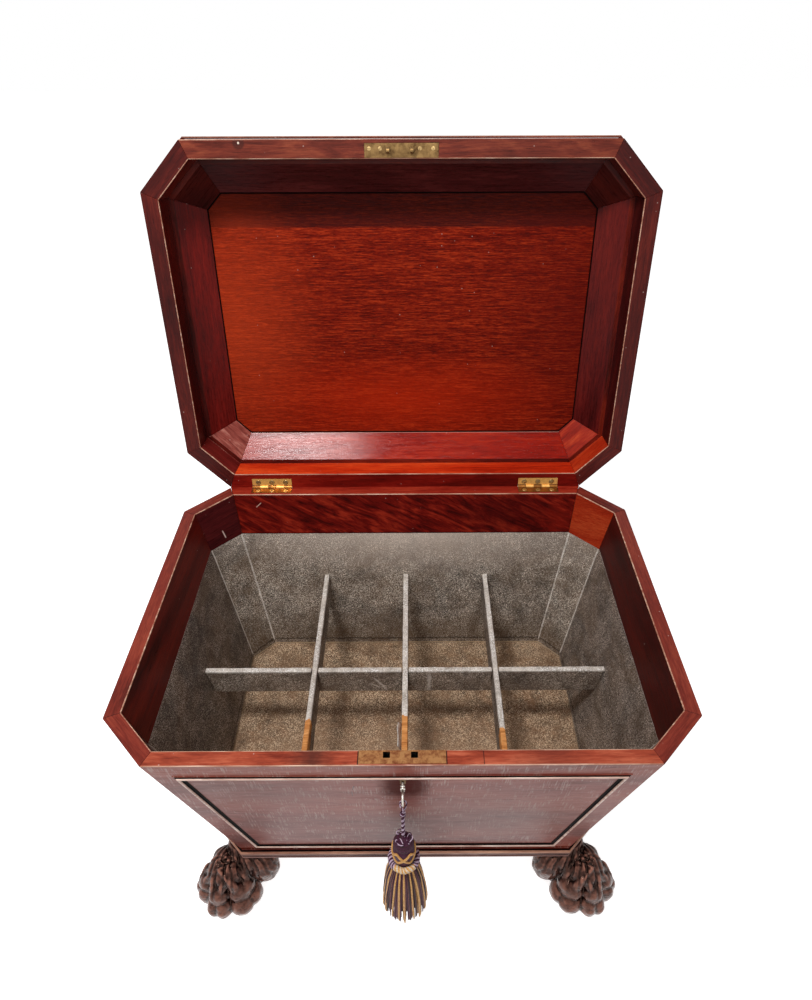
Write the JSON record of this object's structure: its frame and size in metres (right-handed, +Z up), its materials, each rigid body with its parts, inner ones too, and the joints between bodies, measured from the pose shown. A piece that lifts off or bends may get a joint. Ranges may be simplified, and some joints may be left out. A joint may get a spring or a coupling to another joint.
{
  "type": "cellarette",
  "caption": "Octagonal wooden wine cooler on paw feet, with a hinged lid, a lead-lined well with a bottle divider, and a link lock with its key and tassel.",
  "frame": {"origin": "on the floor, at the middle of the rectangle that the cellarette covers with its lid standing open and without its tassel; the middle of the case lies 71.9 mm in front of it, at y = -0.0719", "axes": "X to the right as seen from the front, where the key is, Y to the back, where the hinges are, Z up; the open cellarette is longest along Z"},
  "size_m": [0.6926, 0.7096, 0.9193],
  "materials": {
    "mahogany": "old french polish, worn pale along the edges",
    "mahogany_front": "french polish, greyed by light",
    "mahogany_panel": "bare to thin polish, orange red",
    "carved_mahogany": "dark polish, rubbed on the knuckles",
    "lead": "dull oxidised sheet with pale specks",
    "lead_covered_wood": "dull grey sheet over a wooden core",
    "brass": "bright satin",
    "aged_brass": "dull with age",
    "steel": "satin",
    "yarn": "silk yarn, plum and gold"
  },
  "bodies": {
    "carcass": {"front_panel_moulding": "mahogany", "lock_case": "steel", "keyhole_escutcheon": "brass", "front_board": "mahogany_front", "front_right_corner_board": "mahogany", "right_board": "mahogany", "back_right_corner_board": "mahogany", "back_board": "mahogany", "back_left_corner_board": "mahogany", "left_board": "mahogany", "front_left_corner_board": "mahogany", "bottom_board": "mahogany", "base_moulding": "mahogany", "front_left_foot": "carved_mahogany", "front_right_foot": "carved_mahogany", "back_right_foot": "carved_mahogany", "back_left_foot": "carved_mahogany", "lead_lining": "lead", "long_divider": "lead_covered_wood", "cross_divider_left": "lead_covered_wood", "cross_divider_centre": "lead_covered_wood", "cross_divider_right": "lead_covered_wood", "left_panel_moulding": "mahogany", "right_panel_moulding": "mahogany", "left_hinge_case_leaf": "brass", "left_hinge_pin": "brass", "left_case_screw_1": "steel", "left_case_screw_2": "steel", "left_case_screw_3": "steel", "right_hinge_case_leaf": "brass", "right_hinge_pin": "brass", "right_case_screw_1": "steel", "right_case_screw_2": "steel", "right_case_screw_3": "steel", "lock_plate": "aged_brass"},
    "lid": {"left_hinge_lid_leaf": "brass", "left_lid_screw_1": "steel", "left_lid_screw_2": "steel", "left_lid_screw_3": "steel", "right_hinge_lid_leaf": "brass", "right_lid_screw_1": "steel", "right_lid_screw_2": "steel", "right_lid_screw_3": "steel", "lid_front_board": "mahogany", "lid_front_right_corner_board": "mahogany", "lid_right_board": "mahogany", "lid_back_right_corner_board": "mahogany", "lid_back_board": "mahogany", "lid_back_left_corner_board": "mahogany", "lid_left_board": "mahogany", "lid_front_left_corner_board": "mahogany", "lid_panel": "mahogany_panel", "lid_moulding": "mahogany", "lid_link_plate": "aged_brass"},
    "key": {"key": "steel"},
    "lock_bolt": {"lock_bolt": "steel"},
    "tassel": {"tassel_cord": "yarn", "tassel_head": "yarn", "tassel_skirt": "yarn"}
  },
  "joints": [
    {"name": "lid_hinge", "type": "hinge", "parent": "carcass", "child": "lid", "pos_m": [0, 0.17437, 0.4362], "axis": [1, 0, 0], "range_deg": [0, 100.9]},
    {"name": "key_turn", "type": "hinge", "parent": "carcass", "child": "key", "pos_m": [0, -0.31084, 0.39354], "axis": [0, 0.9874, 0.158], "range_deg": [0, 90]},
    {"name": "bolt_slide", "type": "slide", "parent": "carcass", "child": "lock_bolt", "axis": [-1, 0, 0], "range_m": [0, 0.009]},
    {"name": "tassel_swing", "type": "hinge", "parent": "carcass", "child": "tassel", "pos_m": [0, -0.33819, 0.38916], "axis": [0, 1, 0], "range_deg": [-10, 10]}
  ],
  "couplings": [
    {"joint": "key_turn", "follows": "bolt_slide", "rad_per_m": 174.5}
  ]
}
